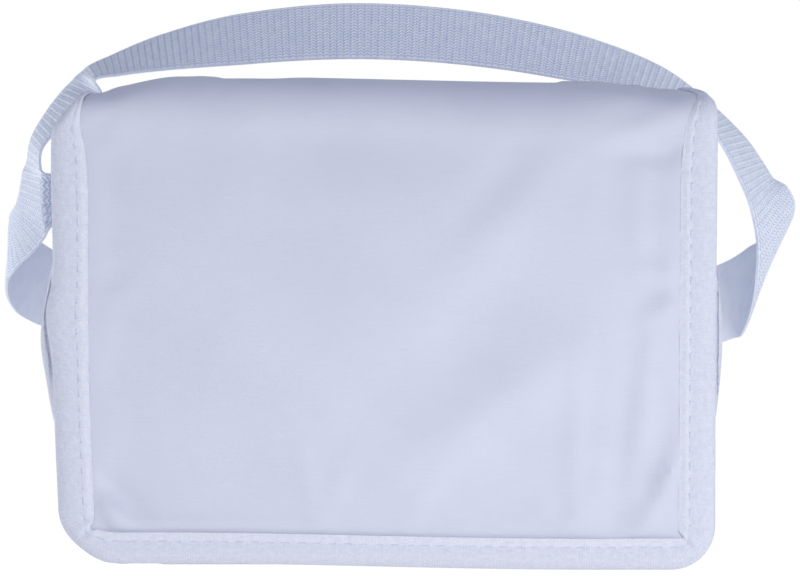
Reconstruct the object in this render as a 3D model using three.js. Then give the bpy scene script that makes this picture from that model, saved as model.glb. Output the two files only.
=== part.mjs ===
// Insulated cooler bag with a full front flap and a webbing carry strap.
// One padded wrap makes the front, base, back, lid and flap. Two padded gussets close the sides,
// cloth tape binds the edges, and the strap is sewn to the taped seams at the back.
// Millimetres. +Z is up, the bag stands on z = 0 and its flap faces -Y.
import * as THREE from "three";

// Driving dimensions
const BAG_WIDTH = 210; // across the flap, tape included
const BAG_HEIGHT = 154; // floor to the top of the lid
const BAG_DEPTH = 140; // taped flap edge to taped back edge
const PANEL_THICKNESS = 3; // shell cloth, foam and lining together
const TAPE_WIDTH = 10.5; // what shows of the tape on each face of an edge
const TAPE_THICKNESS = 0.8;
const CLEARANCE = 0.3; // left between pieces that are sewn to each other
const STRAP_WIDTH = 25;
const STRAP_THICKNESS = 1.6;

// Heights and radii of the wrap, measured to the middle of the padded wall
const HALF_WALL = PANEL_THICKNESS / 2;
const TAPE_BUILD = CLEARANCE + TAPE_THICKNESS;
const BASE_Z = HALF_WALL;
const LID_Z = BAG_HEIGHT - HALF_WALL;
const BASE_RADIUS = 18; // front and back of the base
const BACK_RADIUS = 12; // where the back turns into the lid
const FOLD_RADIUS = 15; // where the lid turns down into the flap
const MOUTH_Z = LID_Z - BACK_RADIUS; // top edge of the front panel and of the gussets
const FLAP_HEM_Z = 2.3; // lower edge of the flap's padding
const HEM_CORNER_RADIUS = { left: 15, right: 13 }; // rounded lower corners of the flap
const HEM_OVERRUN = 6; // the profile runs on past the hem, for the tape around it

// Places of the walls in depth
const BACK_Y = BAG_DEPTH / 2 - HALF_WALL - TAPE_BUILD;
const FLAP_Y = -BACK_Y;
const FLAP_TO_FRONT = 6.2; // between the middles of the flap and of the front panel
const FRONT_Y = FLAP_Y + FLAP_TO_FRONT;

// Padded edges of the wrap: how far each side reaches from the middle of the bag,
// at a share of the way along each panel. The side seams stand out at half height.
const HALF_WIDTH = BAG_WIDTH / 2 - TAPE_BUILD;
const SIDES = { left: -1, right: 1 };
const EDGE_REACH = [
  { panel: "front", share: 0, left: 100.5, right: 100.5 },
  { panel: "front", share: 0.32, left: 103.6, right: 103.4 },
  { panel: "front", share: 0.45, left: 106.6, right: 105.8 },
  { panel: "front", share: 0.56, left: 108.2, right: 106.4 },
  { panel: "front", share: 0.67, left: 106.3, right: 105.6 },
  { panel: "front", share: 0.78, left: 103.6, right: 103.8 },
  { panel: "front", share: 1, left: 94, right: 97 },
  { panel: "base", share: 0, left: 88.5, right: 92.5 },
  { panel: "base", share: 1, left: 88.5, right: 92.5 },
  { panel: "back", share: 0, left: 93, right: 95 },
  { panel: "back", share: 0.5, left: 102, right: 102 },
  { panel: "back", share: 1, left: 102.5, right: 102.5 },
  { panel: "lid", share: 0, left: 100, right: 100 },
  { panel: "lid", share: 1, left: 96.5, right: 97 },
  { panel: "fold", share: 0.3, left: 96.8, right: 102.4 },
  { panel: "fold", share: 0.5, left: 97.8, right: 103.9 },
  { panel: "fold", share: 0.78, left: 101.4, right: 104.2 },
  { panel: "flap", share: 0, left: 103.9, right: 104.2 },
  { panel: "flap", share: 0.5, left: 103.6, right: 103.6 },
  { panel: "flap", share: 1, left: 101.4, right: 103.6 },
];

// Soft shape of the wrap
const EDGE_LIFT = 1.3; // the base rises towards its side seams by the tape under them
const EDGE_LIFT_RUN = 8;
const LID_DROOP = 9.5; // the free side edges of the lid hang down
const LID_DROOP_RUN = 32;
const FOLD_DROOP = { left: 4.5, right: 1.2 }; // what is left of that droop at the fold
const FLAP_SKEW = 1; // how much lower than its middle the flap hangs on the right, and higher on the left
const FLAP_SKEW_RUN = 70;
const PANEL_SWELL = { front: 1, base: 0, back: 2.5, lid: 1.2, fold: 0, flap: 2.6 };

// Folds of the flap: ridges, or valleys where the height is below zero, turned from +X towards +Z
const FLAP_FOLDS = [
  { x: 88, z: 24, turn: 62, length: 26, width: 5, height: -1.3 },
  { x: 72, z: 40, turn: 70, length: 40, width: 6, height: 0.8 },
  { x: 66, z: 148, turn: 35, length: 24, width: 8, height: 0.8 },
  { x: 84, z: 130, turn: 5, length: 16, width: 6, height: -0.8 },
  { x: -86, z: 18, turn: -50, length: 12, width: 4, height: 1 },
  { x: -92, z: 10, turn: -40, length: 10, width: 5, height: -1 },
  { x: 20, z: 50, turn: 48, length: 70, width: 16, height: 0.7 },
];

// Collar of a gusset: how far each ring lies in from the seam's edge, and how far it lifts off the wrap
const GUSSET_COLLAR = [
  { inset: 0.4, lift: 0 },
  { inset: 11, lift: 0 },
  { inset: 13.5, lift: 1.2 },
  { inset: 14.7, lift: 4.5 },
];
const GUSSET_SWELL = 7;

// Strap, from the right back seam over the bag to the left one: the middle of the band,
// and the straight line across it that the band bends about, from its front selvedge to its rear one
const STRAP_RULINGS = [
  { middle: [96, 60.3, 75], across: [-0.28, 0, 0.96] },
  { middle: [105, 60.3, 77.6], across: [-0.28, 0, 0.96] },
  { middle: [114.5, 59.3, 80.8], across: [-0.16, 0, 0.98] },
  { middle: [122, 56.4, 84.6], across: [0.08, 0.03, 0.99] },
  { middle: [127.3, 51, 90], across: [0.27, 0.3, 0.91] },
  { middle: [130.2, 46.5, 95.5], across: [0.4, 0.46, 0.79] },
  { middle: [131.5, 42.8, 101.3], across: [0.48, 0.5, 0.72] },
  { middle: [131.5, 39.4, 107.5], across: [0.51, 0.56, 0.65] },
  { middle: [129.6, 36.4, 114], across: [0.47, 0.7, 0.53] },
  { middle: [126, 34.6, 120], across: [0.39, 0.88, 0.27] },
  { middle: [122.3, 33.5, 127], across: [0.41, 0.9, 0.12] },
  { middle: [116.5, 32.7, 136.3], across: [0.37, 0.92, 0.08] },
  { middle: [106.5, 31.7, 146.5], across: [0.24, 0.95, 0.17] },
  { middle: [91, 30.5, 155.8], across: [0.19, 0.9, 0.39] },
  { middle: [59, 30, 165], across: [0.14, 0.76, 0.63] },
  { middle: [25, 30, 170.8], across: [0.06, 0.69, 0.72] },
  { middle: [-12, 30, 172.8], across: [0, 0.67, 0.74] },
  { middle: [-49, 30, 170], across: [-0.07, 0.74, 0.67] },
  { middle: [-76, 30.5, 165.3], across: [-0.1, 0.88, 0.45] },
  { middle: [-90, 31, 161.5], across: [-0.12, 0.94, 0.28] },
  { middle: [-98.8, 31, 158.2], across: [-0.18, 0.97, 0.16] },
  { middle: [-99.8, 31.2, 154], across: [-0.42, 0.88, 0.2] },
  { middle: [-105, 31.8, 150], across: [-0.36, 0.92, 0.14] },
  { middle: [-110.2, 32, 144.3], across: [-0.28, 0.94, 0.18] },
  { middle: [-116.8, 32, 135], across: [-0.2, 0.96, 0.15] },
  { middle: [-117.2, 32, 124.5], across: [-0.39, 0.91, 0.1] },
  { middle: [-117.5, 32.4, 116], across: [-0.47, 0.86, 0.18] },
  { middle: [-118.7, 34.2, 110.2], across: [-0.47, 0.82, 0.31] },
  { middle: [-122, 37.5, 105.4], across: [-0.36, 0.84, 0.41] },
  { middle: [-125, 41.4, 101.8], across: [-0.18, 0.83, 0.53] },
  { middle: [-127, 46, 98.8], across: [-0.03, 0.74, 0.67] },
  { middle: [-126.6, 51.2, 95.2], across: [0.1, 0.48, 0.87] },
  { middle: [-122.2, 55.9, 90.4], across: [0.21, 0.15, 0.96] },
  { middle: [-115.2, 58.9, 86], across: [0.27, 0.02, 0.96] },
  { middle: [-105, 60.3, 82], across: [0.3, 0, 0.95] },
  { middle: [-96, 60.3, 79], across: [0.3, 0, 0.95] },
];
const STRAP_STEPS_PER_ROW = 3;
const STRAP_EDGE_ROUND = 0.6;

// Looks
const clothLook = { color: 0xdfe3f2, roughness: 0.55, metalness: 0 };
const tapeLook = { color: 0xe2e5f3, roughness: 0.85, metalness: 0 };
const webbingLook = { color: 0xd9deef, roughness: 0.75, metalness: 0 };

// The wrap's profile in the middle of the bag, from the mouth of the front panel round to the flap's hem.
// A point of it is (y, z).
const line = (fromY, fromZ, toY, toZ) =>
  new THREE.LineCurve(new THREE.Vector2(fromY, fromZ), new THREE.Vector2(toY, toZ));
const quarter = (y, z, radius, quarters) =>
  new THREE.EllipseCurve(y, z, radius, radius, (quarters * Math.PI) / 2, ((quarters + 1) * Math.PI) / 2);
const BASE_ARC_Z = BASE_Z + BASE_RADIUS;
const profile = new THREE.CurvePath();
profile.add(line(FRONT_Y, MOUTH_Z, FRONT_Y, BASE_ARC_Z));
profile.add(quarter(FRONT_Y + BASE_RADIUS, BASE_ARC_Z, BASE_RADIUS, 2));
profile.add(line(FRONT_Y + BASE_RADIUS, BASE_Z, BACK_Y - BASE_RADIUS, BASE_Z));
profile.add(quarter(BACK_Y - BASE_RADIUS, BASE_ARC_Z, BASE_RADIUS, 3));
profile.add(line(BACK_Y, BASE_ARC_Z, BACK_Y, LID_Z - BACK_RADIUS));
profile.add(quarter(BACK_Y - BACK_RADIUS, LID_Z - BACK_RADIUS, BACK_RADIUS, 0));
profile.add(line(BACK_Y - BACK_RADIUS, LID_Z, FLAP_Y + FOLD_RADIUS, LID_Z));
profile.add(quarter(FLAP_Y + FOLD_RADIUS, LID_Z - FOLD_RADIUS, FOLD_RADIUS, 1));
profile.add(line(FLAP_Y, LID_Z - FOLD_RADIUS, FLAP_Y, FLAP_HEM_Z - HEM_OVERRUN));

// Distances along the profile at which its lines and arcs end
const STATION_NAMES = [
  "frontEnd", "baseStart", "baseEnd", "backStart", "backEnd", "lidStart", "lidEnd", "flapStart", "overrunEnd",
];
const stationEnds = profile.getCurveLengths();
const STATION = Object.fromEntries(STATION_NAMES.map((name, i) => [name, stationEnds[i]]));
const PROFILE_LENGTH = STATION.overrunEnd;
const HEM = PROFILE_LENGTH - HEM_OVERRUN;
const PANELS = [
  { name: "front", from: 0, to: STATION.frontEnd },
  { name: "base", from: STATION.baseStart, to: STATION.baseEnd },
  { name: "back", from: STATION.backStart, to: STATION.backEnd },
  { name: "lid", from: STATION.lidStart, to: STATION.lidEnd },
  { name: "fold", from: STATION.lidEnd, to: STATION.flapStart },
  { name: "flap", from: STATION.flapStart, to: HEM },
];

const clamp01 = (value) => THREE.MathUtils.clamp(value, 0, 1);
const smooth = (value, from, to) => THREE.MathUtils.smoothstep(value, from, to);
const range = (count) => Array.from({ length: count }, (_, i) => i);

// Evenly spaced values from one number to another, both included
function spaced(from, to, steps) {
  return range(steps + 1).map((i) => from + ((to - from) * i) / steps);
}

// Reach of the wrap's edges along the profile, as a smooth curve through the rows of the table
const reachRows = EDGE_REACH.map(({ panel, share, left, right }) => {
  const { from, to } = PANELS.find(({ name }) => name === panel);
  return { s: from + (to - from) * share, left, right };
});
function slopeAt(row, name) {
  const before = reachRows[Math.max(0, row - 1)];
  const after = reachRows[Math.min(reachRows.length - 1, row + 1)];
  return (after[name] - before[name]) / (after.s - before.s);
}
function edgeReach(name, s) {
  const next = THREE.MathUtils.clamp(reachRows.findIndex((row) => row.s > s), 1, reachRows.length - 1);
  const last = s >= reachRows.at(-1).s ? reachRows.length - 1 : next;
  const from = reachRows[last - 1];
  const to = reachRows[last];
  const run = to.s - from.s;
  const t = clamp01((s - from.s) / run);
  const blend = t * t * (3 - 2 * t);
  const leave = slopeAt(last - 1, name) * run * t * (1 - t) ** 2;
  const arrive = slopeAt(last, name) * run * t * t * (t - 1);
  return from[name] + (to[name] - from[name]) * blend + leave + arrive;
}

// Distance from the middle of the bag to the wrap's padded edge, on the side of the given sign
function halfWidthAt(side, s) {
  const name = side < 0 ? "left" : "right";
  const radius = HEM_CORNER_RADIUS[name];
  const intoCorner = THREE.MathUtils.clamp(s - (HEM - radius), 0, radius);
  return edgeReach(name, s) - radius + Math.sqrt(radius ** 2 - intoCorner ** 2);
}

// Height of the flap's folds at a place on its face
function foldHeight(x, z) {
  return FLAP_FOLDS.reduce((sum, fold) => {
    const turn = THREE.MathUtils.degToRad(fold.turn);
    const along = (x - fold.x) * Math.cos(turn) + (z - fold.z) * Math.sin(turn);
    const aside = (z - fold.z) * Math.cos(turn) - (x - fold.x) * Math.sin(turn);
    return sum + fold.height * Math.exp(-((along / fold.length) ** 2) - (aside / fold.width) ** 2);
  }, 0);
}

// How far the padding swells out of the profile
function swellAt(x, s, z) {
  const across = clamp01(1 - (x / HALF_WIDTH) ** 2);
  const panel = PANELS.find((row) => s > row.from && s < row.to);
  if (!panel) return 0;
  const arch = Math.sin((Math.PI * (s - panel.from)) / (panel.to - panel.from));
  const folds = panel.name === "flap" ? foldHeight(x, z) * across * arch : 0;
  return PANEL_SWELL[panel.name] * across * arch + folds;
}

// How far the wrap moves up or down from the profile, near its edges and on the hanging flap
function liftAt(x, s) {
  const fromEdge = halfWidthAt(x, s) - Math.abs(x);
  const beforeBack = 1 - smooth(s, STATION.baseEnd, STATION.backStart);
  const onBase = smooth(s, STATION.frontEnd, STATION.baseStart) * beforeBack;
  const lidLength = STATION.lidEnd - STATION.lidStart;
  const behindFold = 1 - smooth(s, STATION.lidEnd - lidLength * 0.45, STATION.lidEnd);
  const behindFlap = 1 - smooth(s, STATION.lidEnd, STATION.flapStart);
  const onLid = smooth(s, STATION.backEnd, STATION.lidStart + lidLength * 0.1) * behindFlap;
  const foldDroop = x < 0 ? FOLD_DROOP.left : FOLD_DROOP.right;
  const edgeDroop = onLid * THREE.MathUtils.lerp(foldDroop, LID_DROOP, behindFold);
  const lift = EDGE_LIFT * onBase * (1 - smooth(fromEdge, TAPE_WIDTH, TAPE_WIDTH + EDGE_LIFT_RUN));
  const droop = edgeDroop * (1 - smooth(fromEdge, 0, LID_DROOP_RUN));
  const skewShare = Math.sin((Math.PI / 2) * THREE.MathUtils.clamp(x / FLAP_SKEW_RUN, -1, 1));
  const skew = FLAP_SKEW * skewShare * smooth(s, STATION.lidStart, STATION.lidEnd);
  return lift - droop - skew;
}

// A point of the wrap's middle surface, x across the bag and s along the profile
function wrapPoint(x, s) {
  const t = clamp01(s / PROFILE_LENGTH);
  const place = profile.getPoint(t);
  const heading = profile.getTangent(t);
  const swell = swellAt(x, s, place.y);
  return new THREE.Vector3(x, place.x + swell * heading.y, place.y - swell * heading.x + liftAt(x, s));
}

// Outward normal of the wrap, from two small steps along it
function wrapNormal(x, s) {
  const step = 0.5;
  const acrossBag = wrapPoint(x + step, s).sub(wrapPoint(x - step, s));
  const alongProfile = wrapPoint(x, s + step).sub(wrapPoint(x, s - step));
  return alongProfile.cross(acrossBag).normalize();
}

// A point off the wrap's middle surface by the given height
function offWrap(x, s, height) {
  return wrapPoint(x, s).addScaledVector(wrapNormal(x, s), height);
}

// Turns faces (lists of point indices) into a closed indexed geometry whose faces point out
function closedGeometry(points, faces) {
  const fan = (face) => range(face.length - 2).map((i) => [face[0], face[i + 1], face[i + 2]]);
  const triangles = faces.flatMap(fan);
  const volume = triangles.reduce(
    (sum, [a, b, c]) => sum + points[a].dot(new THREE.Vector3().crossVectors(points[b], points[c])),
    0,
  );
  const facing = volume < 0 ? triangles.map(([a, b, c]) => [a, c, b]) : triangles;
  const geometry = new THREE.BufferGeometry().setFromPoints(points);
  geometry.setIndex(facing.flat());
  geometry.computeVertexNormals();
  return geometry;
}

// Normals of a sheet at its points, as the mean of the faces around each
function sheetNormals(points, quads) {
  const normals = points.map(() => new THREE.Vector3());
  for (const [a, b, c, d] of quads) {
    const diagonal = points[c].clone().sub(points[a]);
    const normal = diagonal.cross(points[d].clone().sub(points[b]));
    for (const corner of [a, b, c, d]) normals[corner].add(normal);
  }
  return normals.map((normal) => normal.normalize());
}

// A padded sheet: the middle surface's points, normals and four-sided faces, given a thickness
function padSheet(points, normals, quads, thickness) {
  const offset = (height) => points.map((point, i) => point.clone().addScaledVector(normals[i], height));
  const under = points.length;
  const edges = new Map();
  for (const quad of quads) {
    quad.forEach((from, i) => {
      const to = quad[(i + 1) % 4];
      if (!edges.delete(`${to},${from}`)) edges.set(`${from},${to}`, [from, to]);
    });
  }
  const bottom = quads.map((quad) => quad.map((i) => i + under).reverse());
  const rim = [...edges.values()].map(([from, to]) => [from, from + under, to + under, to]);
  return closedGeometry([...offset(thickness / 2), ...offset(-thickness / 2)], [...quads, ...bottom, ...rim]);
}

// A solid through rings of points, closed at both ends by the faces of the section that the rings repeat
function loftRings(rings, section) {
  const size = section.length;
  const corner = (ring, i) => ring * size + (i % size);
  const walls = range(rings.length - 1).flatMap((ring) =>
    range(size).map((i) => [
      corner(ring, i), corner(ring, i + 1), corner(ring + 1, i + 1), corner(ring + 1, i),
    ]),
  );
  const capFaces = THREE.ShapeUtils.triangulateShape(section, []);
  const turn = THREE.ShapeUtils.isClockWise(section) ? -1 : 1;
  const oriented = (faces, flip) => faces.map((face) => (flip > 0 ? face : [...face].reverse()));
  const first = oriented(capFaces, -turn);
  const last = oriented(capFaces, turn).map((face) => face.map((i) => corner(rings.length - 1, i)));
  return closedGeometry(rings.flat(), [...walls, ...first, ...last]);
}

// Rows of the wrap along its profile, closer together in the folds. Every sewn piece uses the same rows.
const SHOULDER_RUN = 12; // below the fold, where the flap widens to its full width
const STRETCHES = [
  { to: STATION.frontEnd, steps: 7 },
  { to: STATION.baseStart, steps: 4 },
  { to: STATION.baseEnd, steps: 5 },
  { to: STATION.backStart, steps: 4 },
  { to: STATION.backEnd, steps: 7 },
  { to: STATION.lidStart, steps: 4 },
  { to: STATION.lidEnd, steps: 8 },
  { to: STATION.flapStart, steps: 6 },
  { to: STATION.flapStart + SHOULDER_RUN, steps: 3 },
  { to: HEM - HEM_CORNER_RADIUS.left, steps: 9 },
];
const straightRows = STRETCHES.flatMap(({ to, steps }, i) =>
  spaced(i ? STRETCHES[i - 1].to : 0, to, steps).slice(i ? 1 : 0),
);
const cornerRows = spaced(0, Math.PI / 2, 4).map(
  (angle) => HEM - HEM_CORNER_RADIUS.left * (1 - Math.sin(angle)),
);
const WRAP_ROWS = [...straightRows, ...cornerRows.slice(1)];
const SEAM_ROWS = straightRows.filter((s) => s <= STATION.backEnd);
const LID_AND_FLAP_ROWS = straightRows.filter((s) => s > STATION.backEnd);
const WRAP_COLUMNS = 16; // between the two tapes

// Front panel, base, back, lid and flap in one padded piece
function wrapGeometry() {
  const places = WRAP_ROWS.flatMap((s) => {
    const left = -halfWidthAt(SIDES.left, s);
    const right = halfWidthAt(SIDES.right, s);
    const between = spaced(left + TAPE_WIDTH, right - TAPE_WIDTH, WRAP_COLUMNS);
    return [left, ...between, right].map((x) => ({ x, s }));
  });
  const points = places.map(({ x, s }) => wrapPoint(x, s));
  const normals = places.map(({ x, s }) => wrapNormal(x, s));
  const columns = WRAP_COLUMNS + 2;
  const at = (row, column) => row * (columns + 1) + column;
  const quads = range(WRAP_ROWS.length - 1).flatMap((row) =>
    range(columns).map((column) => [
      at(row, column), at(row, column + 1), at(row + 1, column + 1), at(row + 1, column),
    ]),
  );
  return padSheet(points, normals, quads, PANEL_THICKNESS);
}

// Side panel: a collar that lies inside the wrap's edge, turning into a panel that swells outwards.
// The lower corners of the panel fall half way round the base's two arcs.
function gussetGeometry(side) {
  const flange = HALF_WALL + CLEARANCE + HALF_WALL;
  const seam = SEAM_ROWS.length;
  const points = GUSSET_COLLAR.flatMap(({ inset, lift }) =>
    SEAM_ROWS.map((s) => offWrap(side * (halfWidthAt(side, s) - inset), s, -flange - lift)),
  );
  const collar = range(GUSSET_COLLAR.length - 1).flatMap((ring) =>
    range(seam - 1).map((i) => {
      const here = ring * seam + i;
      return [here, here + 1, here + 1 + seam, here + seam];
    }),
  );

  // The panel is spanned between the collar's inner ring and a straight top edge
  const steps = STRETCHES.map((stretch) => stretch.steps);
  const rows = steps[0] + steps[1] / 2;
  const columns = steps[1] / 2 + steps[2] + steps[3] / 2;
  const innerRing = (GUSSET_COLLAR.length - 1) * seam;
  const front = (row) => innerRing + row;
  const back = (row) => innerRing + seam - 1 - row;
  const base = (column) => innerRing + rows + column;
  const between = (from, to, share) => points[from].clone().lerp(points[to], share);
  const grid = range(rows + 1).map((row) =>
    range(columns + 1).map((column) => {
      if (row === rows) return base(column);
      if (column === 0) return front(row);
      if (column === columns) return back(row);
      const across = column / columns;
      const down = row / rows;
      const top = between(front(0), back(0), across);
      const floor = between(base(0), base(columns), across);
      const place = between(front(row), back(row), across)
        .add(points[base(column)].clone().sub(floor).multiplyScalar(down));
      place.z += (1 - down) * (top.z - points[front(0)].z);
      const bulge = Math.sin(Math.PI * across) * Math.sin((Math.PI * (down + 0.25)) / 1.25);
      place.x += side * GUSSET_SWELL * bulge;
      return points.push(place) - 1;
    }),
  );
  const panel = range(rows).flatMap((row) =>
    range(columns).map((column) => [
      grid[row][column], grid[row + 1][column], grid[row + 1][column + 1], grid[row][column + 1],
    ]),
  );
  const quads = [...collar, ...panel];
  return padSheet(points, sheetNormals(points, quads), quads, PANEL_THICKNESS);
}

// Tape folded over an edge: places along the edge with their inward direction in the sheet,
// and how far the sewn layers reach above and below the wrap's middle surface
function tapeGeometry(edge, above, below) {
  const top = above + CLEARANCE;
  const bottom = -below - CLEARANCE;
  // A point of the section is (inward from the edge, height off the wrap's middle surface)
  const section = [
    [TAPE_WIDTH, top],
    [TAPE_WIDTH, top + TAPE_THICKNESS],
    [0, top + TAPE_THICKNESS],
    [-TAPE_BUILD, above],
    [-TAPE_BUILD, -below],
    [0, bottom - TAPE_THICKNESS],
    [TAPE_WIDTH, bottom - TAPE_THICKNESS],
    [TAPE_WIDTH, bottom],
    [-CLEARANCE, bottom],
    [-CLEARANCE, top],
  ].map(([inward, height]) => new THREE.Vector2(inward, height));
  const rings = edge.map(({ x, s, inX, inS }) =>
    section.map((point) => offWrap(x + inX * point.x, s + inS * point.x, point.y)),
  );
  return loftRings(rings, section);
}

// Edge of the wrap on one side, at the given places along the profile
function sideEdge(side, places) {
  return places.map((s) => ({ x: side * halfWidthAt(side, s), s, inX: -side, inS: 0 }));
}

// Tape round the seams that join a gusset to the front, the base and the back
function seamTapeGeometry(side) {
  return tapeGeometry(sideEdge(side, SEAM_ROWS), HALF_WALL, HALF_WALL + CLEARANCE + PANEL_THICKNESS);
}

// Rounded lower corner of the flap's edge, from the side to the hem
function hemCorner(side) {
  const radius = side < 0 ? HEM_CORNER_RADIUS.left : HEM_CORNER_RADIUS.right;
  const centreS = HEM - radius;
  const centreX = side * (halfWidthAt(side, centreS) - radius);
  return spaced(0, Math.PI / 2, 5).map((angle) => {
    const outX = side * Math.cos(angle);
    const outS = Math.sin(angle);
    return { x: centreX + radius * outX, s: centreS + radius * outS, inX: -outX, inS: -outS };
  });
}

// Tape round the free edges of the lid and the flap
function flapTapeGeometry() {
  const places = [STATION.backEnd + CLEARANCE, ...LID_AND_FLAP_ROWS.slice(0, -1)];
  const left = [...sideEdge(SIDES.left, places), ...hemCorner(SIDES.left)];
  const right = [...sideEdge(SIDES.right, places), ...hemCorner(SIDES.right)];
  const hem = spaced(left.at(-1).x, right.at(-1).x, 14).slice(1, -1);
  const hemEdge = hem.map((x) => ({ x, s: HEM, inX: 0, inS: -1 }));
  return tapeGeometry([...left, ...hemEdge, ...right.reverse()], HALF_WALL, HALF_WALL);
}

// Webbing strap: a flat band lofted along its rulings
function strapGeometry() {
  const middles = STRAP_RULINGS.map(({ middle }) => new THREE.Vector3(...middle));
  const directions = STRAP_RULINGS.map(({ across }) => new THREE.Vector3(...across).normalize());
  const middleCurve = new THREE.CatmullRomCurve3(middles);
  const acrossCurve = new THREE.CatmullRomCurve3(directions);
  const thick = STRAP_THICKNESS / 2;
  const flat = STRAP_WIDTH / 2 - STRAP_EDGE_ROUND;
  const section = [
    [-STRAP_WIDTH / 2, 0],
    [-flat, thick],
    [flat, thick],
    [STRAP_WIDTH / 2, 0],
    [flat, -thick],
    [-flat, -thick],
  ].map(([aside, height]) => new THREE.Vector2(aside, height));
  const rings = spaced(0, 1, (STRAP_RULINGS.length - 1) * STRAP_STEPS_PER_ROW).map((t) => {
    const middle = middleCurve.getPoint(t);
    const across = acrossCurve.getPoint(t).normalize();
    const normal = middleCurve.getTangent(t).cross(across);
    const slant = normal.length(); // sine of the angle between the band and its ruling
    normal.normalize();
    return section.map(({ x, y }) =>
      middle.clone().addScaledVector(across, x / slant).addScaledVector(normal, y),
    );
  });
  return loftRings(rings, section);
}

function part(name, geometry, look) {
  const mesh = new THREE.Mesh(geometry, new THREE.MeshStandardMaterial(look));
  mesh.name = name;
  return mesh;
}

const bag = new THREE.Group();
bag.add(part("wrap_panel", wrapGeometry(), clothLook));
for (const [name, side] of Object.entries(SIDES)) {
  bag.add(part(`gusset_${name}`, gussetGeometry(side), clothLook));
  bag.add(part(`seam_tape_${name}`, seamTapeGeometry(side), tapeLook));
}
bag.add(part("flap_tape", flapTapeGeometry(), tapeLook));
bag.add(part("strap", strapGeometry(), webbingLook));

export default bag;
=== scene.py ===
"""Looks of the cooler bag: padded cloth, folded tape with its stitches, and woven webbing."""
import math

import bmesh
import bpy
import numpy as np
from mathutils import Color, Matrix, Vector


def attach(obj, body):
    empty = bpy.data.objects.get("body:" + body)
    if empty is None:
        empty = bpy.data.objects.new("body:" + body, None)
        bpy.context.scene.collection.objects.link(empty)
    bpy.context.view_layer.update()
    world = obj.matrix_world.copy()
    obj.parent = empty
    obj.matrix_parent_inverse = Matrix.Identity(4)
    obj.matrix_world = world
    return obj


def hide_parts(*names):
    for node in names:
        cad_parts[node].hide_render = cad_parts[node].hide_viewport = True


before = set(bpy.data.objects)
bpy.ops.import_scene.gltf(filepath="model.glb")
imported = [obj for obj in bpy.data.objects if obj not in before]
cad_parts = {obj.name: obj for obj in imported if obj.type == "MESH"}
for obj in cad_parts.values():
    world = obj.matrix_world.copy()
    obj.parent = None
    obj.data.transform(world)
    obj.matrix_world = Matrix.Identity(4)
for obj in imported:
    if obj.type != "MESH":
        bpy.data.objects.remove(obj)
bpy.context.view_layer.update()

MM = 0.001  # lengths below are in millimetres, and become metres when a mesh is made

# Driving dimensions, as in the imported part
BAG_WIDTH = 210
BAG_HEIGHT = 154
BAG_DEPTH = 140
PANEL_THICKNESS = 3
TAPE_WIDTH = 10.5
TAPE_THICKNESS = 0.8
CLEARANCE = 0.3
STRAP_WIDTH = 25
STRAP_THICKNESS = 1.6
HALF_WALL = PANEL_THICKNESS / 2
TAPE_BUILD = CLEARANCE + TAPE_THICKNESS
BASE_Z = HALF_WALL
LID_Z = BAG_HEIGHT - HALF_WALL
BASE_RADIUS = 18
BACK_RADIUS = 12
FOLD_RADIUS = 15
MOUTH_Z = LID_Z - BACK_RADIUS
FLAP_HEM_Z = 2.3
HEM_CORNER_RADIUS = {"left": 15, "right": 13}
HEM_OVERRUN = 6
BACK_Y = BAG_DEPTH / 2 - HALF_WALL - TAPE_BUILD
FLAP_Y = -BACK_Y
FLAP_TO_FRONT = 6.2
FRONT_Y = FLAP_Y + FLAP_TO_FRONT
HALF_WIDTH = BAG_WIDTH / 2 - TAPE_BUILD

# How far the wrap's padded edges reach, by panel: share of its length, left, right
EDGE_REACH = {
    "front": [
        (0, 100.5, 100.5), (0.32, 103.6, 103.4), (0.45, 106.6, 105.8), (0.56, 108.2, 106.4),
        (0.67, 106.3, 105.6), (0.78, 103.6, 103.8), (1, 94, 97),
    ],
    "base": [(0, 88.5, 92.5), (1, 88.5, 92.5)],
    "back": [(0, 93, 95), (0.5, 102, 102), (1, 102.5, 102.5)],
    "lid": [(0, 100, 100), (1, 96.5, 97)],
    "fold": [(0.3, 96.8, 102.4), (0.5, 97.8, 103.9), (0.78, 101.4, 104.2)],
    "flap": [
        (0, 103.9, 104.2), (0.34, 103.7, 103.8), (0.41, 105.5, 103.7), (0.46, 105.3, 103.7),
        (0.54, 103.8, 103.6), (0.62, 103.4, 103.6), (1, 101.4, 103.6),
    ],
}

# Soft shape of the wrap
EDGE_LIFT = 1.3
EDGE_LIFT_RUN = 8
LID_DROOP = 9.5
LID_DROOP_RUN = 32
LID_DROOP_START = 0.1  # share of the lid's length
FOLD_DROOP = {"left": 4.5, "right": 1.2}
FOLD_DROOP_RUN = 0.45  # the same
FLAP_SKEW = 1
FLAP_SKEW_RUN = 70
HEM_RISE = 2.4  # of the flap's hem at its left corner
HEM_RISE_ACROSS = (84, 99)  # from the middle of the bag
HEM_RISE_RUN = 45
SEAM_RETREAT = 3.2  # of the front's side seams, at half height
SEAM_RETREAT_RUN = 24
SQUARE_SHOULDERS = {"left": 0.9, "right": 1}  # share of the fold's rounding that it lacks near the sides
SQUARE_RUN = (45, 88)  # from the middle of the bag
SEAM_GROOVE = 1  # depth that the flap's edge presses into the front seams
SEAM_GROOVE_ACROSS = (-5, -3, 1.05, 1.4)  # beyond the flap's edge: starts, is full, is full still, ends
SEAM_GROOVE_HEIGHTS = {"left": (56, 66, 88, 96), "right": (48, 56, 94, 102)}  # the same, up the bag
GROOVE_FLOOR = 0.3  # half thickness that it leaves of the padding
PANEL_SWELL = {"front": 1, "base": 0, "back": 2.5, "lid": 1.2, "fold": 0, "flap": 2.6}

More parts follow.
